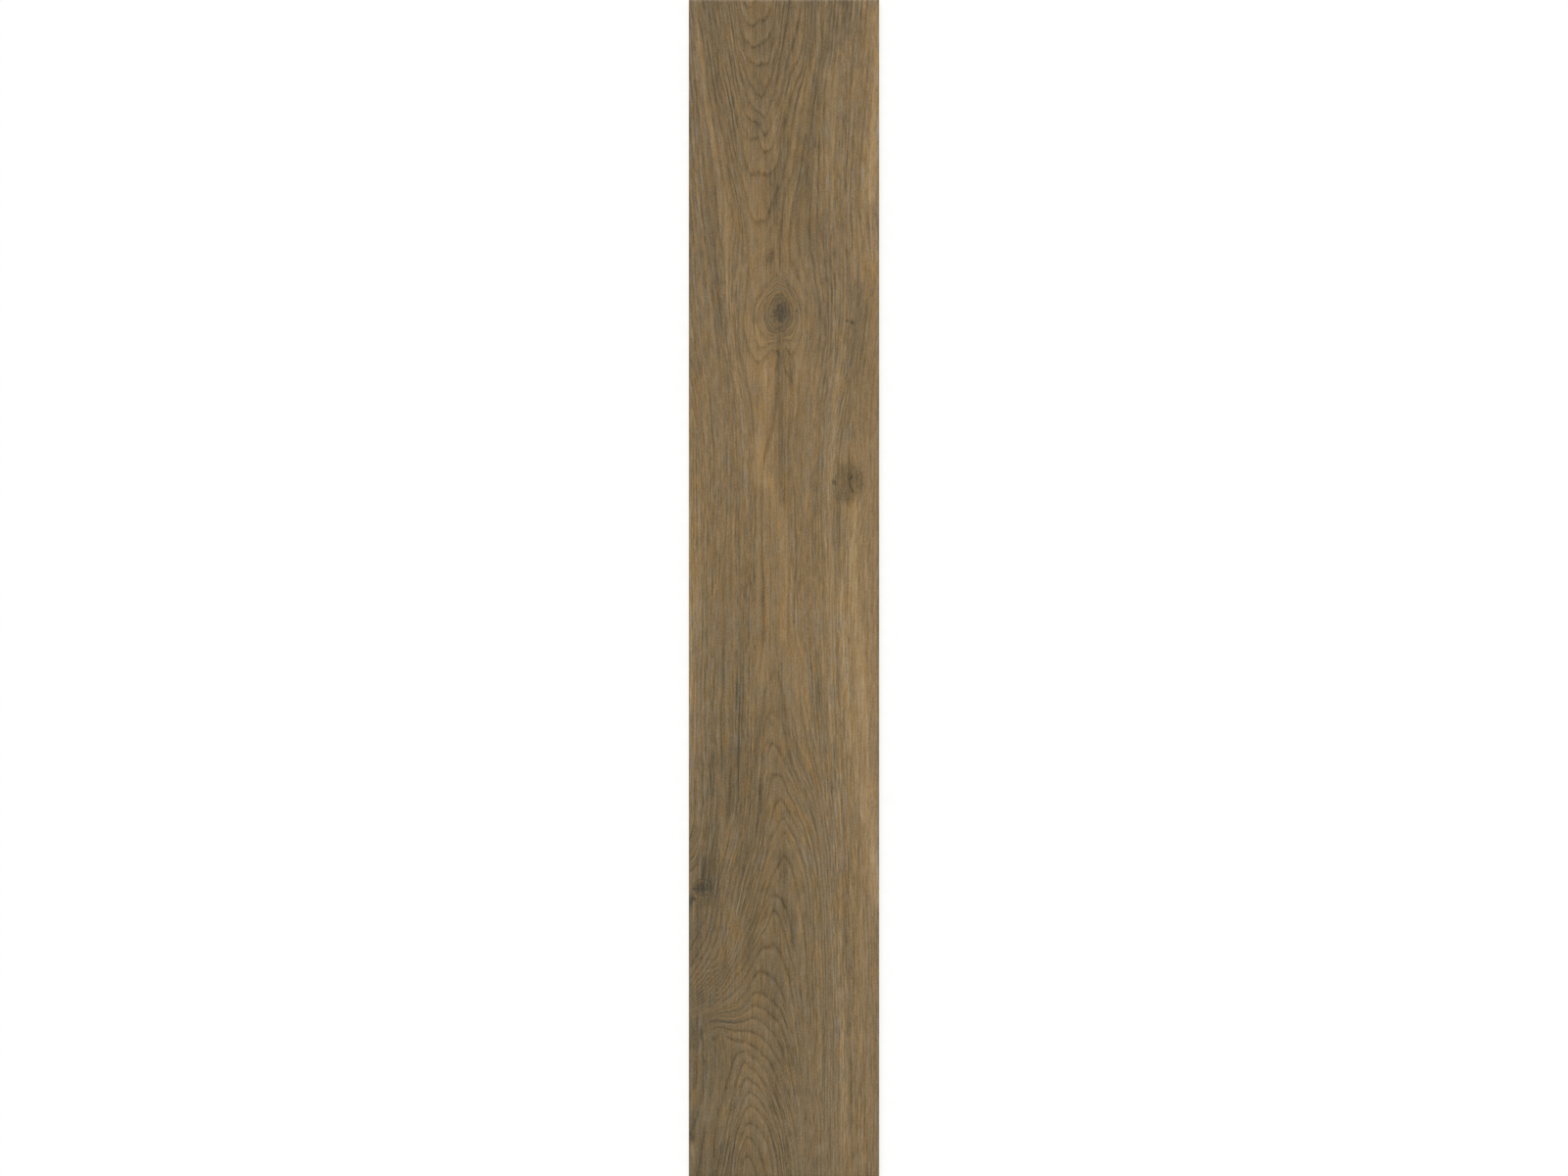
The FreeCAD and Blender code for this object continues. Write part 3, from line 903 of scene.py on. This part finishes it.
def oval_distance(right, down, across, along):
    """0 at the oval's centre and 1 at its border."""
    side = (right_at - right) / across
    length = (down_at - down) / along
    return calc("SQRT", side * side + length * length)


def inside(oval, border):
    """1 well inside an oval and 0 beyond its soft border."""
    return soft_step(oval_distance(*oval), *border)


loose = weighted_sum((share, inside(oval, LOOSE_BORDER)) for share, *oval in LOOSE_PLACES)
print("material reads", len(figure), "numbers from the mesh")

# %% [markdown]
# Fibres are long thin streaks. There are far too many to draw one by one, so a noise is stretched to the
# length and width that they have. The wider a streak is, the longer it runs. On the flanks of the figure
# the streaks follow the rings, and in the wide arches they stand upright, so two sets are mixed by the
# width of the rings. They stand upright too in the fan of lines at the left edge and in the lower part of
# the right side. Each set spreads by about one level of lightness, to be multiplied later. The broad
# streaks are made of fibres as well, so their tone is combed by one of the sets. Fibres are calmer in the
# arches, in the fan and in a strip along the right edge. The grey places come into the stripes below.

# %% Printed oak: fibres
NOISE_SPREAD = 7.0
TYPICAL_RING = 4.6
UPRIGHT_LAYER = 40
ARCH_RINGS = (5.0, 11.0)
ARCH_CALM = 0.35
FAN_CALM = 0.5
EDGE_CALM = 0.22
FINE_WEIGHT = 3.9
HAIR_WEIGHT = 5.6
STREAK_GRAIN = 0.15
GREY_CREST = (0.7, 1.7)
FIBRE_WAVE = 0.12
FAN_PLACE = (22, 974, 44, 56)
RIGHT_SIDE = (178, 860, 45, 420)
EDGE_STRIP = (192, 760, 30, 520)
GREY_PLACES = (
    (0.35, (122, 930, 42, 380)),
    (0.45, (30, 850, 46, 330)),
    (0.3, (16, 230, 22, 130)),
    (0.2, (146, 300, 24, 330)),
    (-0.5, EDGE_STRIP),
)
PLACE_BORDER = (1.15, 0.7)
arch_share = largest(soft_step(ring_width_at, *ARCH_RINGS), loose)
fan_share = inside(FAN_PLACE, PLACE_BORDER)
right_share = inside(RIGHT_SIDE, PLACE_BORDER)
edge_share = inside(EDGE_STRIP, PLACE_BORDER)
figure_share = largest(arch_share, fan_share)
upright_share = largest(figure_share, right_share)
grey_change = weighted_sum((change, inside(oval, PLACE_BORDER)) for change, oval in GREY_PLACES)


def streaks(across, width, length, layer, detail=0.0):
    """Streaks of a width across and a length along the plank, in levels about zero."""
    spot = add_node(oak_tree, "ShaderNodeCombineXYZ", X=across / width, Y=down_at / length, Z=layer)
    return even_noise(spot, 1.0, detail) * NOISE_SPREAD - NOISE_SPREAD / 2


fibre_wave = streaks(right_at, 4.0, 7.0, layer=1.3) * FIBRE_WAVE
upright_at = right_at + fibre_wave
ringwise_at = ring_at * TYPICAL_RING + fibre_wave


def grain(width, length, layer):
    """Streaks along the rings on the flanks and upright in the arches."""
    ringwise = streaks(ringwise_at, width, length, layer)
    upright = streaks(upright_at, width, length, layer + UPRIGHT_LAYER)
    return (upright - ringwise) * upright_share + ringwise


broad_grain = grain(6.0, 220.0, layer=3.3)
middle_grain = grain(2.8, 150.0, layer=5.3)
fine_grain = grain(1.6, 80.0, layer=7.3)
hair_grain = grain(1.25, 14.0, layer=9.3)
speckle = streaks(right_at, 0.8, 1.6, layer=10.3)
calm = 1.0 - largest(fan_share * FAN_CALM, arch_share * ARCH_CALM, edge_share * EDGE_CALM)
fine_levels = (fine_grain * FINE_WEIGHT + hair_grain * HAIR_WEIGHT) * calm
streaky_tone = tone_at * (grain(2.0, 100.0, layer=33.3) * STREAK_GRAIN + 1.0)
grey_fibres = soft_step(streaks(upright_at, 2.2, 40.0, layer=12.3), *GREY_CREST)
print("four sizes of fibre, grey fibres and a speckle")

# %% [markdown]
# Each ring shows a dark line, which the cut makes slightly ragged. The line's distance in millimetres comes
# from the ring number: how far it is from a whole number, times the ring's width. Its darkness comes and
# goes along the way. The line has a dark core and a soft feather on the side where the ring's wood grows
# denser. On its other side the early wood of the next ring is paler.

# %% Printed oak: ring lines
LINE_HALF_WIDTH = 0.6
LINE_GROWTH = 0.048
FEATHER = 3.0
FEATHER_SHARE = 0.5
EARLY_WOOD = 3.0
RAGGED_TOP = 0.8
RAGGED_LOW = 0.25
WOBBLE = 0.5
RAGGED_ENDS = (420.0, 230.0)
DENSE_RINGS = (1.0, 3.0)
FLANK_LINE = 0.3
FLANK_LINE_CHANGE = 0.25
FIRM_FLANK_LINE = 0.35
TOP_FIRM = (330.0, 220.0)
LOW_FIRM = (820.0, 980.0)
ARCH_LINE = 0.85
ARCH_LINE_CHANGE = 0.15


def bell(reach):
    """1 in the middle, a half at a reach of 1, and soon nothing beyond."""
    return calc("POWER", 0.5, reach * reach)


ragged_size = soft_step(down_at, *RAGGED_ENDS) * (RAGGED_TOP - RAGGED_LOW) + RAGGED_LOW
ragged = streaks(right_at, 2.2, 26.0, layer=11.3) * (ragged_size * figure_share)
wobble = streaks(right_at, 9.0, 60.0, layer=13.3) * WOBBLE + ragged
ragged_ring = ring_at + wobble / ring_width_at
from_line = calc("PINGPONG", ragged_ring, 0.5) * ring_width_at
since_line = calc("FRACT", ragged_ring)
before_line = (1.0 - since_line) * ring_width_at
after_line = since_line * ring_width_at
line_core = bell(from_line / (ring_width_at * LINE_GROWTH + LINE_HALF_WIDTH))
line_feather = bell(before_line / FEATHER) * arch_share
line_shape = line_feather * FEATHER_SHARE + line_core
line_change = arch_share * (ARCH_LINE_CHANGE - FLANK_LINE_CHANGE) + FLANK_LINE_CHANGE
firm_share = soft_step(down_at, *TOP_FIRM) + soft_step(down_at, *LOW_FIRM)
line_rest = largest(firm_share * FIRM_FLANK_LINE + FLANK_LINE, arch_share * ARCH_LINE)
line_strength = grain(4.0, 60.0, layer=15.3) * line_change + line_rest
line_place = soft_step(ring_width_at, *DENSE_RINGS) * (1.0 - largest(loose, fan_share))
ring_line = line_shape * line_strength * line_place
early_wood = bell((after_line - EARLY_WOOD) / EARLY_WOOD) * arch_share
print("ring lines from", 2 * LINE_HALF_WIDTH, "mm wide")

# %% [markdown]
# Along both sides the board shows grey pinstripes, each between two darker borders. A stripe is drawn like
# a ring line, by its distance in millimetres, and it comes and goes along its way. It fades where the
# arches begin. In the fan at the left edge the same count gives thin dark lines instead. Where the grey
# places change the stripes, a balance keeps the board's mean tone and colour.

# %% Printed oak: grey stripes
GREY_HALF_WIDTH = 0.9
GREY_SHARE = 0.24
BORDER_OFFSET = 1.65
BORDER_HALF_WIDTH = 0.7
STRIPE_WAVE = 0.2
STRIPE_REST = 0.75
RIGHT_STRIPE = 0.25
STRIPE_CHANGE = 0.22
FAN_HALF_WIDTH = 0.75
STRIPED_RINGS = (8.0, 2.0)
STRIPE_ROOM = (1.5, 3.0)
PLAIN_PLACES = ((12, 1050, 62, 130), (90, 322, 34, 62))
stripe_wave = streaks(right_at, 5.0, 14.0, layer=29.3) * STRIPE_WAVE + wobble
from_stripe = calc("PINGPONG", stripe_at + stripe_wave / stripe_width_at, 0.5) * stripe_width_at
stripe_rest = right_share * RIGHT_STRIPE + STRIPE_REST
stripe_strength = grain(5.0, 70.0, layer=31.3) * STRIPE_CHANGE + stripe_rest
plain_share = largest(figure_share, *[inside(oval, PLACE_BORDER) for oval in PLAIN_PLACES])
flank_share = (1.0 - plain_share) * soft_step(ring_at, *STRIPED_RINGS)
stripe_place = flank_share * soft_step(stripe_width_at, *STRIPE_ROOM)
grey_balance = stripe_place * grey_change
grey_strength = stripe_place * largest(stripe_strength + grey_change, 0.0)
grey_half = calc("MINIMUM", stripe_width_at * GREY_SHARE, GREY_HALF_WIDTH)
grey_line = bell(from_stripe / grey_half) * grey_strength
stripe_border = bell((from_stripe - BORDER_OFFSET) / BORDER_HALF_WIDTH) * grey_strength
fan_line = bell(from_stripe / FAN_HALF_WIDTH) * (fan_share * stripe_strength)
print("grey stripes", 2 * GREY_HALF_WIDTH, "mm wide")

# %% [markdown]
# Oak has open pores, printed here as short dark dashes along the grain. A noise gives thousands of them at
# once: only the crests of a fine streak are kept.

# %% Printed oak: pores
PORE_CREST = (0.9, 2.0)
pores = soft_step(grain(1.0, 8.0, layer=17.3), *PORE_CREST) * calm
print("pores from crests above", PORE_CREST[0])

# %% [markdown]
# Knots are where a branch was. Each mark is a soft oval with a ragged border, given by its depth in levels,
# its centre, its two radii and its raggedness. A negative depth makes a pale mark. A knot's crack or rim is
# an oval line with a half width, kept to one part of its oval by a second oval.

# %% Printed oak: knots
KNOT_MARKS = (
    (8, 93, 319, 13, 17, 0.4),
    (24, 93.5, 319, 10.5, 14, 0.3),
    (15, 92.2, 337, 0.8, 8, 0.5),
    (10, 95, 299.5, 1.8, 3.4, 0.5),
    (26, 109.6, 317.6, 1.4, 1.8, 0.3),
    (8, 76, 312, 1.0, 4.0, 0.5),
    (9, 81.5, 350.5, 2.4, 1.6, 0.6),
    (30, 161.5, 328, 1.7, 2.0, 0.3),
    (34, 166.5, 329.5, 2.2, 3.4, 0.3),
    (9, 167.5, 338, 3.0, 7, 0.6),
    (16, 163, 481, 11, 10, 0.6),
    (16, 161, 499, 10, 16, 0.6),
    (19, 174, 491, 5, 11, 0.6),
    (24, 148, 492, 2.2, 3.4, 0.4),
    (8, 150.5, 487, 1.6, 5, 0.6),
    (24, 14, 905.5, 8.5, 7.5, 0.5),
    (12, 22, 905, 3.6, 10, 0.7),
    (-9, 16.5, 900.5, 2.4, 1.4, 0.6),
    (16, 6.5, 906.5, 3.0, 1.8, 0.5),
    (18, 6, 917, 2.0, 1.6, 0.4),
    (19, 12.5, 1055, 1.7, 8, 0.4),
    (17, 25, 1059, 2.2, 3.0, 0.3),
    (9, 5, 1067, 1.8, 3, 0.6),
    (8, 28, 1070, 1.6, 2, 0.6),
    (13, 2, 1160, 4, 6, 0.6),
    (-7, 4, 1172, 5, 7, 0.5),
    (8, 140, 48, 2.5, 7, 0.6),
)
RIM_MARKS = (
    (28, (171, 493, 7, 10.5), 0.7, (165, 494, 10, 10)),
    (11, (14, 905, 9, 8.5), 1.1, (14, 905, 14, 14)),
)
SPOT_BORDER = (1.3, 0.25)
KEPT_BORDER = (1.2, 0.6)
RAGGED_SHARE = 0.25
RIM_SOFTNESS = 1.8
RAGGED_LEVEL = 0.3
MOTTLE = 0.28
mottle = streaks(right_at, 1.6, 1.8, layer=19.3, detail=2.0)
ragged_rim = streaks(right_at, 2.6, 4.0, layer=21.3, detail=3.0)
mark_parts = [(RAGGED_LEVEL, ragged_rim)]
for depth, *oval, raggedness in KNOT_MARKS:
    ragged_distance = oval_distance(*oval) + ragged_rim * (raggedness * RAGGED_SHARE)
    mark_parts.append((-depth, soft_step(ragged_distance, *SPOT_BORDER)))
for depth, oval, half_line, kept in RIM_MARKS:
    off_rim = calc("ABSOLUTE", oval_distance(*oval) - 1.0)
    rim = soft_step(off_rim, half_line / oval[2] * RIM_SOFTNESS, 0.0)
    mark_parts.append((-depth, rim * inside(kept, KEPT_BORDER)))
marks = weighted_sum(mark_parts) * (mottle * MOTTLE + 1.0)
print(len(KNOT_MARKS), "knot marks", len(RIM_MARKS), "rims")

# %% [markdown]
# Along the softened edges the print is painted a little paler and greyer, as a painted sheen of the glazed
# bevel. The distance to the nearest edge follows from the place, so the painted sheen needs no drawing.

# %% Printed oak: painted edge sheen
SHEEN_REACH = (2.4, 0.3)
SHEEN_RAGGED = 0.3
side_gap = calc("MINIMUM", right_at, WIDTH_MM - right_at)
end_gap = calc("MINIMUM", down_at, LENGTH_MM - down_at)
edge_gap = calc("MINIMUM", side_gap, end_gap) + ragged_rim * SHEEN_RAGGED
# Painted sheen: within a few millimetres of the edge the print is made paler and greyer.
painted_edge_sheen = soft_step(edge_gap, *SHEEN_REACH)
print("wear within", SHEEN_REACH[0], "mm of the edge")

# %% [markdown]
# Now the parts are added up, each with its weight in levels of lightness, and the sum picks a colour from a
# ramp of browns. A brown is given by its level and its colour on a screen. The ink is mixed so that it
# shows as that colour under the studio light and through the glaze's faint glare.

# %% Printed oak: brown
LEVEL_WEIGHTS = (
    (1.0, streaky_tone),
    (0.35, broad_grain),
    (0.9, middle_grain),
    (1.0, fine_levels),
    (4.6, speckle),
    (1.5, grey_fibres),
    # painted sheen: paler along the edges
    (2.0, painted_edge_sheen),
    (-14.0, ring_line),
    (4.0, early_wood),
    (2.5, grey_line),
    (-9.0, stripe_border),
    (3.7, grey_balance),
    (-20.0, fan_line),
    (-10.0, pores),
    (1.0, marks),
)
BROWNS = (
    (66, (71, 66, 57)),
    (74, (81, 73, 60)),
    (82, (90, 80, 63)),
    (89, (101, 88, 65)),
    (96, (110, 94, 69)),
    (105, (121, 103, 76)),
    (113, (130, 110, 81)),
    (121, (139, 118, 87)),
    (132, (152, 128, 95)),
    (143, (162, 140, 106)),
    (156, (174, 152, 118)),
)
MIDDLE_LEVEL = 117.1
LIGHT_GAIN = 1.02
GLARE = 0.03


def ink(colour):
    """Ink that shows as a screen colour."""
    return (*[max(0.0, (light - GLARE) * LIGHT_GAIN) for light in screen_colour(*colour)[:3]], 1.0)


darkest = BROWNS[0][0]
level_range = BROWNS[-1][0] - darkest
ramp_place = (weighted_sum(LEVEL_WEIGHTS) + (MIDDLE_LEVEL - darkest)) / level_range
brown = colour_ramp(ramp_place, [((level - darkest) / level_range, ink(colour)) for level, colour in BROWNS])
print(len(LEVEL_WEIGHTS), "layers,", len(BROWNS), "browns")

# %% [markdown]
# Oak is not of one hue. A second sum makes some streaks silver and others warm: more silver means less red
# and more blue. A second ramp could be mixed in instead, but this way the lightness stays nearly the same.

# %% Printed oak: silver and warm streaks
SILVER_RED = 0.009
SILVER_BLUE = 0.023
SILVER_REST = 3.0
SILVER_WEIGHTS = (
    (5.4, grain(1.3, 24.0, layer=21.8) * (grey_change + 1.0)),
    (1.5, grain(2.6, 60.0, layer=23.3)),
    (11.0, grey_line),
    (-2.0, stripe_border),
    (-2.5, grey_balance),
    (-3.0, ring_line),
    (-1.0, warmth_at),
    (4.0, grey_fibres),
    (0.4, grain(12.0, 160.0, layer=27.3)),
    (3.6, speckle),
    # painted sheen: greyer along the edges
    (4.0, painted_edge_sheen),
    (0.8, fine_grain),
    (0.6, hair_grain),
    (-0.12, tone_at),
)
silver = weighted_sum(SILVER_WEIGHTS) - SILVER_REST
red, green, blue = [
    add_node(oak_tree, "ShaderNodeSeparateColor", part, Color=brown) for part in ("Red", "Green", "Blue")
]
oak_colour = add_node(
    oak_tree, "ShaderNodeCombineColor",
    Red=red * (1.0 - silver * SILVER_RED), Green=green, Blue=blue * (silver * SILVER_BLUE + 1.0),
)
plug(oak_colour, oak_shader.inputs["Base Color"])
print(len(SILVER_WEIGHTS), "layers of silver")

# %% [markdown]
# The glaze is satin, a little duller in the pores and lines, which are also pressed in by a hair.
# Bump is enough for that: it is far finer than the mesh, and it only tilts the light.

# %% Printed oak: glaze
GLAZE_ROUGHNESS = 0.46
PORE_ROUGHNESS = 0.16
PORE_RELIEF = 0.6
FIBRE_RELIEF = 0.12
dullness = largest(pores, ring_line)
plug(dullness * PORE_ROUGHNESS + GLAZE_ROUGHNESS, oak_shader.inputs["Roughness"])
add_bump(oak_shader, fine_grain * FIBRE_RELIEF - dullness * PORE_RELIEF, strength=0.35, depth_mm=0.06)
print("satin glaze, roughness", GLAZE_ROUGHNESS)

# %% [markdown]
# The edges are ground square after firing, so the bare body shows: fine beige stoneware with tiny specks,
# and faint marks of the grinding wheel along the edge. One function serves these edges and the back.

# %% Ground edges
EDGE_TONES = ((0.35, (150, 134, 112)), (0.55, (172, 157, 134)), (0.75, (188, 174, 152)))
WHEEL_STRETCH = (90.0, 90.0, 4000.0)
EDGE_ROUGHNESS = 0.5
WHEEL_ROUGHNESS = 0.3


def dress_body(shader, mix, tones, roughness, strength, depth_mm):
    """Gives bare porcelain the colours and the relief of a mix of noises, and a roughness."""
    stops = [(place, screen_colour(*colour)) for place, colour in tones]
    plug(colour_ramp(mix, stops), shader.inputs["Base Color"])
    plug(roughness, shader.inputs["Roughness"])
    add_bump(shader, mix, strength, depth_mm)


edge, edge_shader, edge_place = new_material("ground_porcelain_edge")
edge_specks = even_noise(edge_place, 1400.0)
edge_clouds = even_noise(edge_place, 60.0, detail=3.0)
wheel_place = add_node(edge.node_tree, "ShaderNodeMapping", Vector=edge_place, Scale=WHEEL_STRETCH)
wheel_marks = even_noise(wheel_place, 1.0)
edge_mix = weighted_sum(((0.5, edge_clouds), (0.3, wheel_marks), (0.3, edge_specks)))
edge_roughness = wheel_marks * WHEEL_ROUGHNESS + EDGE_ROUGHNESS
dress_body(edge_shader, edge_mix, EDGE_TONES, edge_roughness, strength=0.3, depth_mm=0.05)
print("ground edges in", len(EDGE_TONES), "tones, roughness from", EDGE_ROUGHNESS)

# %% [markdown]
# The back is as pressed, chalky from the kiln wash, with the ribs rubbed a little paler than the pockets.
# The height on the object tells a rib from a pocket, so one material serves both.

# %% Bare back
CLAY_TONES = ((0.25, (140, 122, 100)), (0.5, (166, 150, 127)), (0.75, (192, 180, 160)))
CLAY_REST = 0.05
CLAY_ROUGHNESS = 0.75
GRIT_ROUGHNESS = 0.2
clay, clay_shader, clay_place = new_material("bare_clay_back")
clay_height = add_node(clay.node_tree, "ShaderNodeSeparateXYZ", "Z", Vector=clay_place)
rib_share = soft_step(clay_height, float(pocket_depth), 0.0)
clay_clouds = even_noise(clay_place, 22.0, detail=5.0)
clay_grit = even_noise(clay_place, 900.0, detail=3.0)
clay_mix = weighted_sum(((0.35, clay_grit), (0.5, clay_clouds), (0.18, rib_share))) - CLAY_REST
clay_roughness = clay_grit * GRIT_ROUGHNESS + CLAY_ROUGHNESS
dress_body(clay_shader, clay_mix, CLAY_TONES, clay_roughness, strength=0.5, depth_mm=0.15)
print("bare back in", len(CLAY_TONES), "tones, roughness from", CLAY_ROUGHNESS)

# %% [markdown]
# Last, the finished skin becomes an object. It rides on the plank's one body and stands in for the plain CAD
# solid, which is hidden.

# %% Finished plank
plank = bpy.data.objects.new("plank_tile_finished", plank_mesh)
bpy.context.collection.objects.link(plank)
for finish in (oak, edge, clay):
    plank_mesh.materials.append(finish)
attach(plank, "root")
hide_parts("plank_tile")
